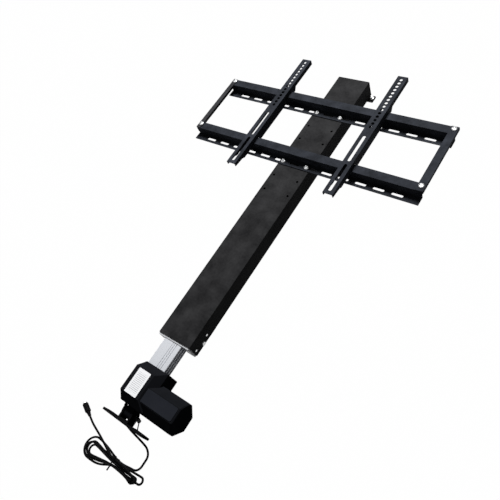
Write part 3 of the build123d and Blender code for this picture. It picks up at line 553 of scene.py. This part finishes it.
def motor_sheen_panel():
    """The smooth field on the motor's front: a thin plate whose lighter tone is a painted sheen.
    """
    low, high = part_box("motor_cover")
    start, end, wide, thick = 21.5 * mm, high.x - 5 * mm, 33 * mm, 0.5 * mm
    corner, lift = 4 * mm, 0.02 * mm
    shape = bmesh.new()
    bmesh.ops.create_cube(shape, size=1)
    bmesh.ops.scale(shape, verts=shape.verts, vec=(end - start, wide, thick))
    upright = [edge for edge in shape.edges
               if abs(edge.verts[0].co.z - edge.verts[1].co.z) > thick / 2]
    bmesh.ops.bevel(shape, geom=upright, offset=corner, segments=5, profile=0.5,
                    affect="EDGES", material=-1)
    middle = ((start + end) / 2, (low.y + high.y) / 2, high.z + thick / 2 + lift)
    bmesh.ops.translate(shape, verts=shape.verts, vec=middle)
    piece("motor_sheen_panel", shape, "base", panel_sheen_finish, "housing_plastic")


def round_wire(name, places, radius, finish):
    """A wire or cord along a smooth curve that its points pull on."""
    curve = bpy.data.curves.new(name, "CURVE")
    curve.dimensions = "3D"
    curve.bevel_depth = radius
    curve.use_fill_caps = True
    line = curve.splines.new("NURBS")
    line.points.add(len(places) - 1)
    for point, place in zip(line.points, places):
        point.co = (*place, 1.0)
    line.order_u = 3
    line.use_endpoint_u = True
    curve.materials.append(finish)
    return add(name, curve)


def hairpin():
    """The clip in the pin's end: a leg through the pin, an eye below it and a loose tail."""
    low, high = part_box("clevis_pin")
    from_end = 6.5 * mm
    hole = Vector((high.x - from_end, (low.y + high.y) / 2, (low.z + high.z) / 2))
    places = [
        (0, 4, 8), (0, 0.9, 1.8), (0, -2.7, -5.4), (0, -5.4, -9.6), (0.5, -5.8, -13.9),
        (1, -3.6, -16.6), (1.5, 0.4, -15.9), (2, 1.6, -11.4), (2.5, -1.4, -9.4),
        (4, -7, -11), (7, -14, -12), (10, -20.5, -12.5),
    ]
    clip = round_wire("hairpin_clip", [hole + Vector(place) * mm for place in places],
                      1.3 * mm, black_hardware)
    clip.data.bevel_resolution = 4
    in_pin, narrower = 3, 0.75
    for point in clip.data.splines[0].points[:in_pin]:
        point.radius = narrower
    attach(clip, "foot")
    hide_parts("pin_clip")


# The cord
#
# Its routes and the hank's measures are millimetres and follow the CAD's. Points of the lead's
# bend and of the hank's loops were moved to where the photograph shows the cord.

cord_radius = 2.5 * mm
lead_route = [
    (-34.0, -534.0, 16.0), (-34.0, -546.0, 16.0), (-28.0, -558.0, 12.0), (-13.0, -565.5, 6.0),
    (8.0, -571.0, 3.5), (36.0, -574.5, 3.5), (58.0, -577.5, 3.5), (75.0, -581.0, 3.5),
    (88.0, -593.0, 3.5), (88.0, -610.0, 3.5), (88.0, -622.5, 3.5), (80.5, -633.0, 3.5),
    (64.0, -635.0, 3.5), (46.0, -638.6, 3.5),
]
tail_route = [
    (35.0, -638.6, 20.3), (19.0, -638.6, 20.3), (1.0, -633.9, 19.8), (-22.0, -627.2, 15.5),
    (-47.0, -620.0, 11.5), (-71.0, -614.0, 8.8), (-91.0, -608.3, 7.0), (-108.0, -600.5, 7.0),
]
hank_middle = (45.0, -645.0)
# The first layer's height, the rise from layer to layer, and the step between columns
hank_level, hank_rise, hank_step = 3.5, 5.6, 6.4
# Half the waist's length, the radius of its bends, and half the length of a climb
hank_waist, hank_flare, half_climb = 20.0, 15.0, 7
# A loop's middle, along and across the hank from its middle, and its radius
left_loops = [(94.0, -5.0, 24.0), (90.0, -6.0, 15.5), (90.0, -9.0, 16.0), (78.0, -6.0, 11.5)]
right_loops = [(44.0, -5.0, 6.2), (60.5, 3.0, 8.2), (46.0, -6.0, 6.5), (41.0, -3.0, 6.0)]
# How far the runs to and from each left loop are pushed out
swells = [(2.0, 9.0), (0.0, 2.0), (0.0, 3.0), (0.0, 0.0)]
loop_steps = 8


def hank_turns():
    """The hank's points: straight runs from the waist, and the loops that they meet."""

    def spot(along, across, layer):
        return (hank_middle[0] + along, hank_middle[1] + across, hank_level + layer * hank_rise)

    def slope(loop, inner, side):
        """The turn from the waist's direction to the run that touches the loop."""
        reach, middle, radius = loop
        out = reach - hank_waist
        up = side * (middle - inner) - hank_flare
        return atan2(up, out) + asin((hank_flare + radius) / hypot(out, up))

    def corner(loop, inner, side, heading, layer):
        """Where a run leaves the waist."""
        turn = slope(loop, inner, side)
        return [spot(heading * (hank_waist + hank_flare * tan(turn / 2)), inner, layer)]

    def swelled(first, second, swell):
        """The middle of a run, pushed out."""
        pushes = (0.0, swell, 0.0)
        return [tuple((a + b) / 2 + push for a, b, push in zip(first, second, pushes))]

    def climb(inner, low, high, heading):
        """From one layer to the next, across the waist."""
        return [spot(-heading * half_climb, inner, low), spot(heading * half_climb, inner, high)]

    def turns(loop, first, last, side, heading, layer):
        """Round a loop, from the run on one side, which comes from one column, to the other."""
        reach, middle, radius = loop
        start = pi / 2 + slope(loop, first, side)
        whole = start + pi / 2 + slope(loop, last, -side)
        step = whole / loop_steps
        wide = radius / cos(step / 2)
        angles = [start - (number + 0.5) * step for number in range(loop_steps)]
        return [
            spot(heading * (reach + wide * cos(angle)), middle + side * wide * sin(angle), layer)
            for angle in angles
        ]

    low_column = -hank_step
    last = len(left_loops) - 1
    points = corner(left_loops[0], hank_step, 1, -1, 0)
    for layer, (left, right) in enumerate(zip(left_loops, right_loops)):
        going, coming = (0.0, hank_step) if layer % 2 else (hank_step, 0.0)
        fan = turns(left, going, low_column, 1, -1, layer)
        waist = corner(left, low_column, -1, -1, layer)
        points += swelled(points[-1], fan[0], swells[layer][0]) + fan
        points += swelled(fan[-1], waist[0], -swells[layer][1]) + waist
        points += corner(right, low_column, -1, 1, layer)
        points += turns(right, low_column, coming, -1, 1, layer)
        points += corner(right, coming, 1, 1, layer)
        if layer < last:
            points += climb(coming, layer, layer + 1, -1)
            points += corner(left_loops[layer + 1], coming, 1, -1, layer + 1)
    return points


def supply_cord():
    """One cord from the gearbox through the hank to the plug."""
    route = [Vector(point) * mm for point in lead_route + hank_turns() + tail_route]
    cord = round_wire("supply_cord", route, cord_radius, cord_finish)
    cord.data.bevel_resolution = 5
    cord.data.resolution_u = 6
    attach(cord, "base")
    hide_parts("cord_lead", "cord_hank", "cord_tail")
    return cord, route


def plug():
    """A round plug: a ribbed sleeve and grip, and a bright shell with its insert."""
    start, before = Vector(tail_route[-1]) * mm, Vector(tail_route[-2]) * mm
    way = (start - before).normalized()
    length, steps = 37, 40
    outline = [(0, 0), (3.1, 0), (3.3, 0.5)]
    for rib in range(4):
        base = 1.6 + rib * 2.8
        wide = 3.7 + rib * 0.35
        narrow = wide - 0.7
        outline += [(wide, base), (wide, base + 1.5), (narrow, base + 1.8), (narrow, base + 2.5)]
    outline += [(5.2, 13), (6.2, 13.2), (7, 14.4)]
    for groove in range(5):
        base = 18 + groove * 3
        outline += [(7, base), (6.5, base + 0.4), (6.5, base + 1.2), (7, base + 1.6)]
    outline += [(7, 35.8), (6, length), (0, length)]
    grip = stand(turned(millimetres(outline), steps), start, way)
    shell = [
        (0, 0), (5, 0), (5, 4.7), (4.8, 5), (4.3, 5), (4.2, 4.8), (4.2, 0.8), (1.6, 0.8),
        (1.6, 4.5), (1.3, 4.8), (0, 4.8),
    ]
    tip = stand(turned(millimetres(shell), steps), start + way * length * mm, way)
    return [
        piece("plug_grip", grip, "base", plug_finish, "cord_black", "plug_body"),
        piece("plug_shell", tip, "base", nickel_finish, "plug_metal", "plug_tip"),
    ]


bolts()
six_sided()
arms()
# The plate on the motor's front, carrying a painted sheen.
motor_sheen_panel()
hairpin()
cord, route = supply_cord()
plug_pieces = plug()


# Camera, floor and light

def camera():
    """Stands where the photograph was taken from."""
    place = Vector((0.724548, -0.477047, 1.124767))
    right = Vector((0.78986, 0.534796, -0.30019))
    down = Vector((0.333382, -0.785256, -0.521757))
    forward = Vector((-0.51476, 0.312037, -0.798533))
    lens = bpy.data.cameras.new("camera")
    lens.sensor_width = 36
    lens.lens = 38.073
    lens.clip_start = 0.01
    lens.clip_end = 50
    made = add("camera", lens)
    turn = Matrix((right, -down, -forward)).transposed().to_4x4()
    made.matrix_world = Matrix.Translation(place) @ turn
    bpy.context.scene.camera = made


def seen_directly(tree):
    """1 for rays from the camera, a mirror or glass, and 0 for light that falls on the object."""
    path = tree.nodes.new("ShaderNodeLightPath")
    total = path.outputs["Is Camera Ray"]
    for name in ("Is Glossy Ray", "Is Transmission Ray"):
        sum_of_both = tree.nodes.new("ShaderNodeMath")
        sum_of_both.use_clamp = True
        tree.links.new(total, sum_of_both.inputs[0])
        tree.links.new(path.outputs[name], sum_of_both.inputs[1])
        total = sum_of_both.outputs[0]
    return total


def white_floor():
    """White to look at, and grey in the light that it gives back."""
    half_width, grey, white_share = 12, 0.16, 0.995
    shape = bmesh.new()
    bmesh.ops.create_grid(shape, x_segments=1, y_segments=1, size=half_width)
    mesh = bpy.data.meshes.new("floor")
    shape.to_mesh(mesh)
    shape.free()
    floor = add("floor", mesh)
    material = bpy.data.materials.new("white_floor")
    material.use_nodes = True
    tree = material.node_tree
    surface = tree.nodes["Principled BSDF"]
    surface.inputs["Base Color"].default_value = (grey, grey, grey, 1)
    surface.inputs["Roughness"].default_value = 0.9
    surface.inputs["Specular IOR Level"].default_value = 0.0
    glow = tree.nodes.new("ShaderNodeEmission")
    glow.inputs["Color"].default_value = (1, 1, 1, 1)
    share = tree.nodes.new("ShaderNodeMath")
    share.operation = "MULTIPLY"
    share.inputs[1].default_value = white_share
    tree.links.new(seen_directly(tree), share.inputs[0])
    mix = tree.nodes.new("ShaderNodeMixShader")
    tree.links.new(share.outputs[0], mix.inputs["Fac"])
    tree.links.new(surface.outputs[0], mix.inputs[1])
    tree.links.new(glow.outputs[0], mix.inputs[2])
    tree.links.new(mix.outputs[0], tree.nodes["Material Output"].inputs["Surface"])
    mesh.materials.append(material)


def lamp(name, place, power):
    """A square lamp that points at the origin."""
    light = bpy.data.lights.new(name, "AREA")
    light.size = 1.4
    light.energy = power
    made = add(name, light)
    made.location = place
    made.rotation_euler = (-Vector(place)).to_track_quat("-Z", "Y").to_euler()


def studio():
    """A dim white world, a strong lamp beyond the lift's top and a faint one at its low end."""
    world = bpy.data.worlds.new("studio")
    world.use_nodes = True
    tree = world.node_tree
    background = tree.nodes["Background"]
    background.inputs["Color"].default_value = (1, 1, 1, 1)
    dim = tree.nodes.new("ShaderNodeMapRange")
    dim.inputs["To Min"].default_value = 0.05
    dim.inputs["To Max"].default_value = 1.0
    tree.links.new(seen_directly(tree), dim.inputs["Value"])
    tree.links.new(dim.outputs[0], background.inputs["Strength"])
    bpy.context.scene.world = world
    lamp("high_lamp", (-0.8, 2.6, 3.2), 255)
    lamp("front_lamp", (-1.3, -2.4, 1.2), 5)


camera()
white_floor()
studio()
bpy.context.scene.view_settings.view_transform = "Standard"
